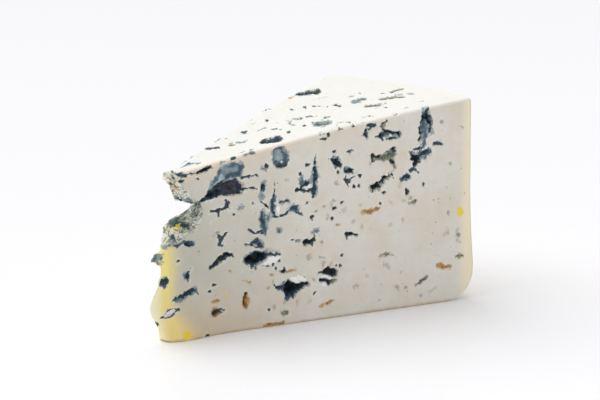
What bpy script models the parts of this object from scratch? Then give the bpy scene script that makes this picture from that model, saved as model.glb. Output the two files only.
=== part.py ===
# Wedge of blue cheese: the lower half of a wheel, cut into a sector, with a broken tip.
# Metres, +Z up. The wedge stands on its rind, the tip towards -X and the curved rind towards +X.
import math

import bmesh
import bpy
from mathutils import Matrix, Vector, noise

# The wheel and the cut
WHEEL_RADIUS = 0.150
WEDGE_ANGLE = math.radians(34.8)
HEIGHT_AT_RIND = 0.0918
HEIGHT_AT_MIDDLE = 0.0824
HEIGHT_AT_TIP = 0.0690

# The rind: rounded at the foot, leaning outwards above it
RIND_FOOT_RADIUS = 0.0135
RIND_BULGE = 0.0032
RIND_BULGE_HEIGHT = 0.018

# The tip: a thin rounded nose that bellies out near the foot
NOSE_START = 0.0070
NOSE_REACH = 0.0030
NOSE_BELLY = 0.0062
NOSE_BELLY_HEIGHT = 0.0150
NOSE_BELLY_SPREAD = 0.0085
NOSE_FOOT_RADIUS = 0.0035

# The soft foot of the thin end spreads a little over the surface it stands on
FOOT_SPREAD = 0.0030
FOOT_SPREAD_HEIGHT = 0.0045
FOOT_SPREAD_DISTANCE = 0.0130
FOOT_SPREAD_WIDTH = 0.0120

# The soft edge round the cut top and the unevenness of the cut
TOP_EDGE_RADIUS = 0.0016
CUT_WAVINESS = 0.0004
WAVE_LENGTH = 0.030

# Steps of the surface
FACE_COLUMNS = 22
ARC_COLUMNS = 10
FOOT_LEVELS = 5
UPPER_LEVELS = 14

# Where the tip is broken: for each side of the wedge, the mouth's outline from its upper lip
# to its lower lip, as distance from the wheel's axis and height
BREAK_FRONT = (
    (-0.012, 0.0900),
    (0.0050, 0.0735),
    (0.0130, 0.0655),
    (0.0212, 0.0575),
    (0.0224, 0.0535),
    (0.0207, 0.0482),
    (0.0150, 0.0438),
    (0.0030, 0.0406),
    (-0.012, 0.0385),
)
BREAK_BACK = (
    (-0.012, 0.0900),
    (0.0050, 0.0735),
    (0.0120, 0.0645),
    (0.0190, 0.0575),
    (0.0350, 0.0550),
    (0.0300, 0.0525),
    (0.0120, 0.0500),
    (0.0020, 0.0465),
    (-0.012, 0.0440),
)
BREAK_SIDE = 0.016
BREAK_STEPS = 10
BREAK_ROUGHNESS = 0.0014
BREAK_GRAIN = 0.0055

# A flake that hangs from the broken tip
FLAKE_PLACE = (0.0035, 0.0030, 0.0355)
FLAKE_SIZE = (0.0050, 0.0030, 0.0070)

# Cavities: distance from the wheel's axis, height of the middle, length, width and depth in
# millimetres, and tilt in degrees. The last one of the front goes right through the thin end.
FRONT_CAVITIES = (
    (31.0, 66.0, 20.0, 10.0, 8.0, 28),
    (58.2, 73.2, 9.0, 10.0, 5.0, 0),
    (128.6, 80.5, 22.0, 4.4, 4.5, 76),
    (122.6, 65.6, 7.0, 7.4, 6.0, 20),
    (107.0, 70.0, 16.0, 6.6, 5.0, -12),
    (105.6, 57.6, 15.0, 5.4, 6.0, 31),
    (46.4, 30.2, 8.6, 8.4, 6.0, 20),
    (63.4, 15.6, 17.0, 7.4, 6.5, 8),
    (82.0, 18.2, 9.4, 8.4, 5.0, 30),
    (84.6, 69.2, 7.6, 6.6, 4.0, -20),
    (13.4, 18.8, 10.4, 4.4, 2.4, 25),
    (23.6, 71.2, 6.4, 4.2, 4.0, 15),
    (28.0, 31.4, 11.0, 4.0, 3.6, 42),
    (48.4, 64.0, 6.6, 5.6, 4.0, -35),
    (70.0, 62.4, 6.6, 5.6, 4.0, 30),
    (68.6, 39.6, 7.4, 3.6, 3.0, -4),
    (94.6, 38.4, 6.4, 3.4, 4.0, 5),
    (6.6, 12.2, 7.0, 2.8, 9.0, 22),
)
BACK_CAVITIES = (
    (38.0, 62.0, 15.0, 8.0, 7.0, -22),
    (62.0, 30.0, 18.0, 6.6, 6.5, 14),
    (80.0, 66.0, 9.6, 9.0, 5.0, 0),
    (100.0, 44.0, 14.0, 5.6, 6.0, -28),
    (121.0, 70.0, 5.0, 16.0, 5.0, 8),
    (112.0, 20.0, 9.0, 6.6, 5.0, 10),
    (30.0, 22.0, 9.0, 4.6, 3.0, 30),
    (57.0, 50.0, 7.0, 5.6, 4.0, -15),
    (130.0, 33.0, 6.0, 5.0, 4.0, 25),
)
# On the top: place along and across from the wheel's axis, length, width and depth, and turn
TOP_CAVITIES = (
    (58.2, -7.6, 11.4, 3.8, 3.8, -44),
    (84.0, -12.8, 11.0, 4.4, 3.0, -60),
    (112.4, 27.2, 14.0, 3.2, 3.8, -3),
    (116.0, -12.0, 8.0, 3.4, 3.0, -40),
    (107.6, 2.2, 4.4, 3.4, 3.4, -20),
    (128.6, -10.8, 12.0, 3.4, 2.6, -43),
    (72.0, 12.0, 6.0, 2.8, 2.4, 20),
)
CAVITY_ROUGHNESS = 0.22

PASTE_COLOUR = (0.80, 0.76, 0.63, 1.0)
PASTE_ROUGHNESS = 0.55

MM = 0.001
HALF_ANGLE = WEDGE_ANGLE / 2


def clear_scene():
    for obj in list(bpy.data.objects):
        bpy.data.objects.remove(obj, do_unlink=True)


def top_height(distance):
    # a parabola through the heights at the tip, half way and at the rind
    t = distance / WHEEL_RADIUS
    return (
        HEIGHT_AT_TIP * (1 - t) * (1 - 2 * t)
        + HEIGHT_AT_MIDDLE * 4 * t * (1 - t)
        + HEIGHT_AT_RIND * t * (2 * t - 1)
    )


def rind_radius(z):
    # a quarter circle at the foot, then a slight bulge that dies away upwards
    sink = max(0.0, RIND_FOOT_RADIUS - z)
    corner = RIND_FOOT_RADIUS - math.sqrt(RIND_FOOT_RADIUS**2 - sink**2)
    bulge = RIND_BULGE * math.exp(-max(0.0, z - RIND_BULGE_HEIGHT) / HEIGHT_AT_MIDDLE * 3)
    return WHEEL_RADIUS + bulge - corner


def nose_reach(z):
    # how far the rounded nose stands in front of the faces' first column
    belly = NOSE_BELLY * math.exp(-(((z - NOSE_BELLY_HEIGHT) / NOSE_BELLY_SPREAD) ** 2))
    sink = max(0.0, NOSE_FOOT_RADIUS - z)
    corner = NOSE_FOOT_RADIUS - math.sqrt(NOSE_FOOT_RADIUS**2 - sink**2)
    return NOSE_REACH + belly - 0.6 * corner


def polar(distance, angle):
    return Vector((distance * math.cos(angle), distance * math.sin(angle), 0.0))


def foot_spread(distance, z):
    # the cheese sags outwards at the foot of the thin end
    near = math.exp(-(((distance - FOOT_SPREAD_DISTANCE) / FOOT_SPREAD_WIDTH) ** 2))
    return FOOT_SPREAD * near * math.exp(-z / FOOT_SPREAD_HEIGHT)


def face_point(side, distance, z):
    # a point of the front or the back cut face
    sign = -1 if side == "front" else 1
    outward = polar(1.0, sign * (HALF_ANGLE + math.pi / 2))
    return polar(distance, sign * HALF_ANGLE) + outward * foot_spread(distance, z)


def ring_point(side, t, level):
    # one point of the outline at a level from 0, the foot, to 1, the top
    if side == "nose":
        angle = (0.5 - t) * math.pi
        z = level * top_height(NOSE_START)
        edge = face_point("back", NOSE_START, z)
        point = Vector((edge.x - nose_reach(z) * math.cos(angle), edge.y * math.sin(angle), 0))
    elif side == "rind":
        z = level * top_height(WHEEL_RADIUS)
        point = polar(rind_radius(z), (2 * t - 1) * HALF_ANGLE)
    else:
        way = t if side == "front" else 1 - t
        z = level * top_height(NOSE_START + way * (WHEEL_RADIUS - NOSE_START))
        distance = NOSE_START + way * (rind_radius(z) - NOSE_START)
        point = face_point(side, distance, z)
    point.z = z
    return point


def inward(side, t):
    # level direction from the outline into the wedge, for the rounded edge of the top
    front = polar(1.0, math.pi / 2 - HALF_ANGLE)
    back = polar(1.0, HALF_ANGLE - math.pi / 2)
    if side == "front":
        return front
    if side == "rind":
        return (front if t == 0 else Vector()) - polar(1.0, (2 * t - 1) * HALF_ANGLE)
    if side == "back":
        return back - (polar(1.0, HALF_ANGLE) if t == 0 else Vector())
    return Vector((1.0, 0.0, 0.0))


def uneven(point):
    # slow waves on the cut faces, none at the foot, which stays flat
    lift = min(1.0, point.z / RIND_FOOT_RADIUS)
    return point + noise.noise_vector(point / WAVE_LENGTH) * CUT_WAVINESS * lift


def outline():
    # the closed outline, anticlockwise from the tip: front, rind, back and nose
    steps = []
    for side, count in (
        ("front", FACE_COLUMNS),
        ("rind", ARC_COLUMNS),
        ("back", FACE_COLUMNS),
        ("nose", ARC_COLUMNS),
    ):
        steps += [(side, i / count) for i in range(count)]
    return steps


def side_levels():
    # closer together on the rounded foot, the last one just under the top's edge
    foot = RIND_FOOT_RADIUS / HEIGHT_AT_RIND
    last = 1 - TOP_EDGE_RADIUS / HEIGHT_AT_MIDDLE
    low = [foot * (1 - math.cos(math.pi / 2 * i / FOOT_LEVELS)) for i in range(FOOT_LEVELS)]
    high = [foot + (last - foot) * i / UPPER_LEVELS for i in range(UPPER_LEVELS + 1)]
    return low + high


def make_rings(bm):
    # the rings of the sides, from the foot up, and the top's ring, drawn in by the edge's radius
    rings = []
    for level in side_levels():
        rings.append([bm.verts.new(uneven(ring_point(side, t, level))) for side, t in outline()])
    top = []
    for side, t in outline():
        point = ring_point(side, t, 1.0) + inward(side, t) * TOP_EDGE_RADIUS
        top.append(bm.verts.new(uneven(point)))
    rings.append(top)
    for lower, upper in zip(rings, rings[1:]):
        for i, start in enumerate(lower):
            j = (i + 1) % len(lower)
            bm.faces.new((start, lower[j], upper[j], upper[i]))
    return rings


def fill_top(bm, ring):
    # a Coons patch between the top ring's four stretches, following the height of the top
    n, m = FACE_COLUMNS, ARC_COLUMNS
    front = ring[: n + 1]
    rind = ring[n : n + m + 1]
    back = ring[n + m : 2 * n + m + 1][::-1]
    nose = (ring[2 * n + m :] + ring[:1])[::-1]
    grid = {(i, 0): front[i] for i in range(n + 1)}
    grid.update({(i, m): back[i] for i in range(n + 1)})
    grid.update({(0, j): nose[j] for j in range(m + 1)})
    grid.update({(n, j): rind[j] for j in range(m + 1)})
    for i in range(1, n):
        for j in range(1, m):
            a, b = i / n, j / m
            across = front[i].co.lerp(back[i].co, b)
            along = nose[j].co.lerp(rind[j].co, a)
            chord = front[0].co.lerp(back[0].co, b).lerp(front[n].co.lerp(back[n].co, b), a)
            point = across + along - chord
            point.z = top_height(point.xy.length)
            grid[i, j] = bm.verts.new(uneven(point))
    for i in range(n):
        for j in range(m):
            bm.faces.new((grid[i, j], grid[i + 1, j], grid[i + 1, j + 1], grid[i, j + 1]))


def link(name, bm, place=None):
    # a new object from a bmesh, in the scene or in another collection
    bmesh.ops.recalc_face_normals(bm, faces=bm.faces)
    mesh = bpy.data.meshes.new(name)
    bm.to_mesh(mesh)
    bm.free()
    obj = bpy.data.objects.new(name, mesh)
    (place or bpy.context.scene.collection).objects.link(obj)
    return obj


def make_body():
    bm = bmesh.new()
    rings = make_rings(bm)
    fill_top(bm, rings[-1])
    bm.faces.new(rings[0][::-1])
    return link("cheese_wedge", bm)


def make_break(cutters):
    # the broken tip: the mouth's outline carried from the front side to the back side
    bm = bmesh.new()
    rows = []
    for i in range(BREAK_STEPS + 1):
        t = i / BREAK_STEPS
        row = []
        for (front_x, front_z), (back_x, back_z) in zip(BREAK_FRONT, BREAK_BACK):
            blend = min(1.0, max(0.0, 1.5 * t - 0.25))
            x = front_x + (back_x - front_x) * blend
            z = front_z + (back_z - front_z) * blend
            point = Vector((x, BREAK_SIDE * (2 * t - 1), z))
            rough = noise.noise_vector(point / BREAK_GRAIN) * BREAK_ROUGHNESS
            row.append(bm.verts.new(point + (rough if front_x > 0 else Vector())))
        rows.append(row)
    for near, far in zip(rows, rows[1:]):
        for i, start in enumerate(near):
            j = (i + 1) % len(near)
            bm.faces.new((start, near[j], far[j], far[i]))
    bm.faces.new(rows[0])
    bm.faces.new(rows[-1][::-1])
    bmesh.ops.triangulate(bm, faces=bm.faces)
    link("tip_break", bm, cutters)


def make_flake(additions):
    # a small ragged scrap, flat and pointed below
    bm = bmesh.new()
    bmesh.ops.create_icosphere(bm, subdivisions=2, radius=1.0)
    for vert in bm.verts:
        taper = 0.55 + 0.45 * vert.co.z
        lump = 1 + 0.3 * noise.noise(vert.co * 2.1)
        x, y, z = vert.co * lump
        size = FLAKE_SIZE
        vert.co = Vector((x * taper * size[0], y * taper * size[1], z * size[2]))
        vert.co += Vector(FLAKE_PLACE)
    link("tip_flake", bm, additions)


def face_frame(side, along, height):
    # a frame on a cut face: X runs out to the rind, Y out of the cheese and Z up the face
    if side == "top":
        place = Vector((along, height, top_height(math.hypot(along, height))))
        return Matrix.Translation(place) @ Matrix.Rotation(math.pi / 2, 4, "X").inverted()
    sign = -1 if side == "front" else 1
    place = polar(along, sign * HALF_ANGLE) + Vector((0, 0, height))
    turn = sign * HALF_ANGLE + (math.pi if side == "front" else 0)
    mirror = Matrix.Scale(-1, 4, (1, 0, 0)) if side == "front" else Matrix.Identity(4)
    return Matrix.Translation(place) @ Matrix.Rotation(turn, 4, "Z") @ mirror


def make_cavity(cutters, side, number, along, height, length, width, depth, tilt):
    # a lumpy ellipsoid sunk in a cut face
    bm = bmesh.new()
    bmesh.ops.create_icosphere(bm, subdivisions=2, radius=1.0)
    size = Vector((length / 2, depth, width / 2)) * MM
    seed = Vector((along, height, len(side)))
    for vert in bm.verts:
        lump = 1 + CAVITY_ROUGHNESS * noise.noise(vert.co * 1.7 + seed)
        vert.co = Vector([a * b for a, b in zip(vert.co * lump, size)])
    turn = Matrix.Rotation(math.radians(-tilt), 4, "Y")
    frame = face_frame(side, along * MM, height * MM)
    bmesh.ops.transform(bm, matrix=frame @ turn, verts=bm.verts)
    link(f"{side}_cavity_{number:02d}", bm, cutters)


def helper_collection(name):
    group = bpy.data.collections.new(name)
    bpy.context.scene.collection.children.link(group)
    return group


def hide_helpers(group):
    for obj in group.objects:
        obj.hide_render = True
        obj.display_type = "WIRE"


def apply_boolean(body, group, operation):
    # joins or cuts with everything in the collection, then removes those helpers
    modifier = body.modifiers.new(operation.lower(), "BOOLEAN")
    modifier.operation = operation
    modifier.operand_type = "COLLECTION"
    modifier.collection = group
    modifier.solver = "EXACT"
    graph = bpy.context.evaluated_depsgraph_get()
    mesh = bpy.data.meshes.new_from_object(body.evaluated_get(graph))
    body.modifiers.clear()
    body.data = mesh
    for obj in list(group.objects):
        bpy.data.objects.remove(obj, do_unlink=True)
    bpy.data.collections.remove(group)


def centre_over_origin(body):
    # the origin is in the middle of the wedge's length and width, at its foot
    points = [vert.co for vert in body.data.vertices]
    low = [min(p[axis] for p in points) for axis in range(3)]
    high = [max(p[axis] for p in points) for axis in range(3)]
    middle = Vector(((low[0] + high[0]) / 2, (low[1] + high[1]) / 2, low[2]))
    body.data.transform(Matrix.Translation(-middle))


def make_paste():
    material = bpy.data.materials.new("blue_cheese_paste")
    material.use_nodes = True
    shader = material.node_tree.nodes["Principled BSDF"]
    shader.inputs["Base Color"].default_value = PASTE_COLOUR
    shader.inputs["Roughness"].default_value = PASTE_ROUGHNESS
    shader.inputs["Metallic"].default_value = 0.0
    return material


def main():
    clear_scene()
    body = make_body()

    additions = helper_collection("flakes")
    make_flake(additions)
    hide_helpers(additions)
    apply_boolean(body, additions, "UNION")

    cutters = helper_collection("cutters")
    make_break(cutters)
    for side, cavities in (
        ("front", FRONT_CAVITIES),
        ("back", BACK_CAVITIES),
        ("top", TOP_CAVITIES),
    ):
        for number, cavity in enumerate(cavities):
            make_cavity(cutters, side, number, *cavity)
    hide_helpers(cutters)
    apply_boolean(body, cutters, "DIFFERENCE")

    centre_over_origin(body)
    body.data.materials.clear()
    body.data.materials.append(make_paste())
    body.data.shade_smooth()
    body.data.set_sharp_from_angle(angle=math.radians(40))


main()
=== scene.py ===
import itertools
import math

import bmesh
import bpy
import numpy as np
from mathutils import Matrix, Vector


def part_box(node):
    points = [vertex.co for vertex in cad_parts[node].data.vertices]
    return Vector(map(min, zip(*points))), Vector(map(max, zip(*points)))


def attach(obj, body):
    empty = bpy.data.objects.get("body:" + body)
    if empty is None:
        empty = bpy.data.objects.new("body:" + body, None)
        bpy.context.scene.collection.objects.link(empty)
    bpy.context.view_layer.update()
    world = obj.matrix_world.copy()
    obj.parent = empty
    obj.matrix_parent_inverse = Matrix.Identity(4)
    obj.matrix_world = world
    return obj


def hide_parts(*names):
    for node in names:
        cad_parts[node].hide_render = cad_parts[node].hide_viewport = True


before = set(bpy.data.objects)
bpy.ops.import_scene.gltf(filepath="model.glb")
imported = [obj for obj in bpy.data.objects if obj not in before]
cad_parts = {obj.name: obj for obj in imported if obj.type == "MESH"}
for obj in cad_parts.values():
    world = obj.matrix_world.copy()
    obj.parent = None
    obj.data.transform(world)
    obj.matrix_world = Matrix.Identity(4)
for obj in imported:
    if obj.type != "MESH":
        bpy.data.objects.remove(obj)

mm = 0.001
low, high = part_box("cheese_wedge")
print("frame loaded")


wedge = {
    "angle": 34.8,                     # degrees between the two cuts
    "radius": 150.0,                   # mm from the wheel's axis to the rind
    "heights": (69.0, 82.4, 91.8),     # mm at the axis, half way and at the rind
    "rindFoot": 13.5,                  # radius of the rind's foot
    "bulge": 3.2,                      # how far the rind swells near its foot
    "bulgeHeight": 18.0,
    "noseStart": 7.0,                  # where the cut faces begin
    "noseReach": 3.0,                  # how far the thin end stands in front of them
    "belly": 6.2,                      # and how much more it swells low down
    "bellyHeight": 15.0,
    "bellySpread": 8.5,
    "noseFoot": 3.5,
    "noseUndercut": 0.6,               # share of the rounding that the nose's foot is drawn in by
    "footSpread": 3.0,                 # the thin end's foot sags outwards,
    "footAt": 13.0,                    # most of all this far from the wheel's axis
    "footWidth": 12.0,
    "footFade": 4.5,                   # and less with height
    "topEdge": 1.6,                    # radius of the edge round the top
    "wave": 0.4,                       # slow unevenness of the cuts
    "crumb": 0.28,                     # fine unevenness of the paste
    "columns": 104,                    # steps along each cut
    "arcColumns": 38,                  # steps across the rind and the nose
    "rows": 61,                        # steps up the sides
    "edgeRows": 4,
    # mm round a mark within which the steps are halved, and halved again
    "finer": ({"front": 0.9, "back": 0.2, "top": 0.4, "nose": 0.8, "broken": 0.01, "dent": 0.05},
              {"front": 0.15, "back": -1.2, "top": -0.6, "nose": 0.2, "broken": 0.3, "dent": 0.6}),
}

# The broken tip: distance along each cut and height, from the upper lip to the lower lip
tipBreak = {
    "front": ((4.0, 75.0), (5.8, 71.2), (9.1, 69.5), (14.6, 63.8), (20.9, 57.7), (22.1, 53.8), (22.1, 51.6),
              (20.7, 48.2), (17.1, 46.4), (14.6, 43.6), (12.5, 42.6), (3.7, 41.0), (2.0, 39.9), (-12.0, 38.0)),
    "back": ((4.0, 75.0), (6.0, 72.0), (8.0, 69.5), (12.4, 63.8), (17.0, 57.4), (34.0, 55.4), (30.0, 52.8),
             (12.0, 49.6), (3.0, 46.4), (-12.0, 44.0)),
    "roughness": 1.0,
    "shelf": 39.5,                     # height where the lower block's broken top begins
    "crumb": 2.0,                      # size of the broken crumbs, and how far they stand out of line
    "crumbShift": 0.55,
    "shelfFade": 2.5,
    "lipFade": 0.8,                    # mm over which the cut turns into the break
    "flake": (35.4, 6.2, 2.3),         # height, reach and half height of the scrap that hangs from the tip
    "flakeTurn": 0.35,                 # how far round towards the back it hangs, in radians
}

wheelAxis = high.x / mm - (wedge["radius"] + wedge["bulge"])     # the wheel's middle, in mm along the row
half = math.radians(wedge["angle"] / 2)
frontWay = np.array([math.cos(half), -math.sin(half), 0.0])
backWay = np.array([math.cos(half), math.sin(half), 0.0])
frontIn = np.array([math.sin(half), math.cos(half), 0.0])
backIn = np.array([math.sin(half), -math.cos(half), 0.0])


def topHeight(distance):
    # a parabola of distance/radius through the three heights
    t = distance / wedge["radius"]
    a, b, c = wedge["heights"]
    return a * (1 - t) * (1 - 2 * t) + b * 4 * t * (1 - t) + c * t * (2 * t - 1)


def rindRadius(z):
    # radius + bulge fading upwards as e^(-3 height/half height) - the gap beside a quarter circle at the foot
    foot = wedge["rindFoot"]
    sink = np.clip(foot - z, 0, foot)
    fade = np.exp(-3 * np.clip(z - wedge["bulgeHeight"], 0, None) / wedge["heights"][1])
    return wedge["radius"] + wedge["bulge"] * fade - (foot - np.sqrt(foot**2 - sink**2))


def noseReach(z):
    # reach + belly as a bell curve of height - the gap beside a quarter circle at the foot
    foot = wedge["noseFoot"]
    sink = np.clip(foot - z, 0, foot)
    belly = wedge["belly"] * np.exp(-(((z - wedge["bellyHeight"]) / wedge["bellySpread"]) ** 2))
    return wedge["noseReach"] + belly - wedge["noseUndercut"] * (foot - np.sqrt(foot**2 - sink**2))


def footSpread(distance, z):
    # a bell curve of distance times e^(-height/fade)
    bell = np.exp(-(((distance - wedge["footAt"]) / wedge["footWidth"]) ** 2))
    return wedge["footSpread"] * bell * np.exp(-z / wedge["footFade"])


def corner(cells, seed):
    # a whole-number hash of each cell corner, spread over -1 to 1
    h = cells[..., 0] * 374761393 + cells[..., 1] * 668265263 + cells[..., 2] * 1442695041 + seed * 97654321
    h = h & 0xFFFFFFFF
    h = ((h ^ (h >> 13)) * 1103515245) & 0xFFFFFFFF
    h = h ^ (h >> 16)
    return h / 2147483647.5 - 1


def lumps(points, size, seed=0, octaves=1):
    # value noise: the eight corner values blended by 3t^2 - 2t^3 along each axis;
    # each octave is half as wide and half as strong
    total = np.zeros(points.shape[:-1])
    for k in range(octaves):
        p = points / (size / 2**k) + 31.7 * (k + seed)
        cell = np.floor(p).astype(np.int64)
        t = p - cell
        t = t * t * (3 - 2 * t)
        for dx in (0, 1):
            for dy in (0, 1):
                for dz in (0, 1):
                    weight = ((t[..., 0] if dx else 1 - t[..., 0]) * (t[..., 1] if dy else 1 - t[..., 1])
                              * (t[..., 2] if dz else 1 - t[..., 2]))
                    total += weight * corner(cell + (dx, dy, dz), seed + k) / 2**k
    return total


def breakLine(side, z):
    # straight lines between the lips' points, read at a height
    outline = np.array(tipBreak[side])[::-1]
    return np.interp(z, outline[:, 1], outline[:, 0])


def rowStart(side, level):
    # the height z where level = z / (top height - edge) at the start of the cut, and that start:
    # the later of the nose and the break
    z = np.linspace(0, 74, 3000)
    start = np.maximum(wedge["noseStart"], breakLine(side, z))
    levels = np.maximum.accumulate(z / (topHeight(start) - wedge["topEdge"]))
    height = np.interp(level, levels, z)
    return np.interp(height, z, start), height


def rowLevels():
    # 0 to 1, with steps closer together on the rounded foot and beside the break
    v = np.linspace(0, 1, 2000)
    density = 1 + 1.2 * np.exp(-((v / 0.06) ** 2)) + 0.9 * np.exp(-(((v - 0.67) / 0.11) ** 2))
    total = np.concatenate([[0], np.cumsum((density[1:] + density[:-1]) / 2)])
    return np.interp(np.linspace(0, 1, wedge["rows"] + 1), total / total[-1], v)


def faceRow(side, level, drop, inset):
    # along a cut: start + t (rind radius - start), height = level (top height - edge) + drop,
    # sagging at the foot and drawn in by the inset where it turns over the top's edge
    n = wedge["columns"]
    t = np.linspace(0, 1, n + 1)[None, :]
    start = rowStart(side, level)[0] + inset
    rindZ = level * (topHeight(wedge["radius"]) - wedge["topEdge"]) + drop
    s = start[:, None] + t * (rindRadius(rindZ) - inset - start)[:, None]
    z = level[:, None] * (topHeight(s) - wedge["topEdge"]) + drop[:, None]
    way, inside = (frontWay, frontIn) if side == "front" else (backWay, backIn)
    points = s[..., None] * way + (inset[:, None] - footSpread(s, z))[..., None] * inside
    points[..., 2] = z
    return points


def rindRow(level, drop, inset):
    # an arc of the rind's radius - inset, from (inset / radius) inside one cut to as much inside the other
    t = np.linspace(-1, 1, wedge["arcColumns"] + 1)[None, :]
    z = level * (topHeight(wedge["radius"]) - wedge["topEdge"]) + drop
    r = (rindRadius(z) - inset)[:, None]
    angle = t * (half - np.arcsin(inset[:, None] / r))
    return np.stack([r * np.cos(angle), r * np.sin(angle), z[:, None] + 0 * t], -1)


def noseRow(backStart, frontStart):
    # from the back cut to the front cut: the straight line between their starts, a half ellipse of the nose's
    # reach in front of it, held behind the straight line of the break at that height
    m = wedge["arcColumns"]
    turn = (0.5 - np.arange(m + 1) / m) * math.pi
    w = (1 - np.sin(turn)) / 2
    points = backStart[:, None, :] * (1 - w)[None, :, None] + frontStart[:, None, :] * w[None, :, None]
    z = points[..., 2]
    natural = points[..., 0] - noseReach(z) * np.cos(turn)[None, :]
    broken = (breakLine("back", z) * (1 - w) + breakLine("front", z) * w) * math.cos(half)
    height, reach, spread = tipBreak["flake"]
    scrap = np.exp(-(((z - height) / spread) ** 2)) * np.clip(np.cos(turn - tipBreak["flakeTurn"]), 0, 1) ** 4
    points[..., 0] = np.maximum(natural, broken) - reach * scrap
    above = np.clip((z - tipBreak["shelf"]) / tipBreak["shelfFade"], 0, 1) * np.clip(np.cos(turn) * 6, 0, 1)
    return points, np.maximum(np.clip((broken - natural) / tipBreak["lipFade"], 0, 1), above), scrap


def buildSides():
    # the rows of the closed outline, anticlockwise: front, rind, back and nose;
    # the last rows turn over the top's edge
    edge, k = wedge["topEdge"], wedge["edgeRows"]
    turn = np.linspace(0, math.pi / 2, k + 1)[1:]
    level = np.concatenate([rowLevels(), np.ones(k)])
    drop = np.concatenate([np.zeros(wedge["rows"] + 1), edge * np.sin(turn)])
    inset = np.concatenate([np.zeros(wedge["rows"] + 1), edge * (1 - np.cos(turn))])
    front, back = faceRow("front", level, drop, inset), faceRow("back", level, drop, inset)
    rind = rindRow(level, drop, inset)
    nose, isBroken, scrap = noseRow(back[:, 0], front[:, 0])
    ring = np.concatenate([front[:, :-1], rind[:, :-1], back[:, :0:-1], nose[:, :-1]], 1)
    plain = np.zeros((len(level), 2 * wedge["columns"] + wedge["arcColumns"]))
    return ring, np.concatenate([plain, isBroken[:, :-1]], 1), np.concatenate([plain, scrap[:, :-1]], 1)


def fillTop(ring):
    # a Coons patch: across + along - the patch of the four corners, at the top's height
    n, m = wedge["columns"], wedge["arcColumns"]
    front, rind = ring[:n + 1], ring[n:n + m + 1]
    back = ring[n + m:2 * n + m + 1][::-1]
    nose = np.concatenate([ring[2 * n + m:], ring[:1]])[::-1]
    a = np.linspace(0, 1, n + 1)[:, None, None]
    b = np.linspace(0, 1, m + 1)[None, :, None]
    across = front[:, None] * (1 - b) + back[:, None] * b
    along = nose[None] * (1 - a) + rind[None] * a
    corners = (front[0] * (1 - b) + back[0] * b) * (1 - a) + (front[-1] * (1 - b) + back[-1] * b) * a
    grid = across + along - corners
    grid[1:-1, 1:-1, 2] = topHeight(np.hypot(grid[1:-1, 1:-1, 0], grid[1:-1, 1:-1, 1]))
    return grid


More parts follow.
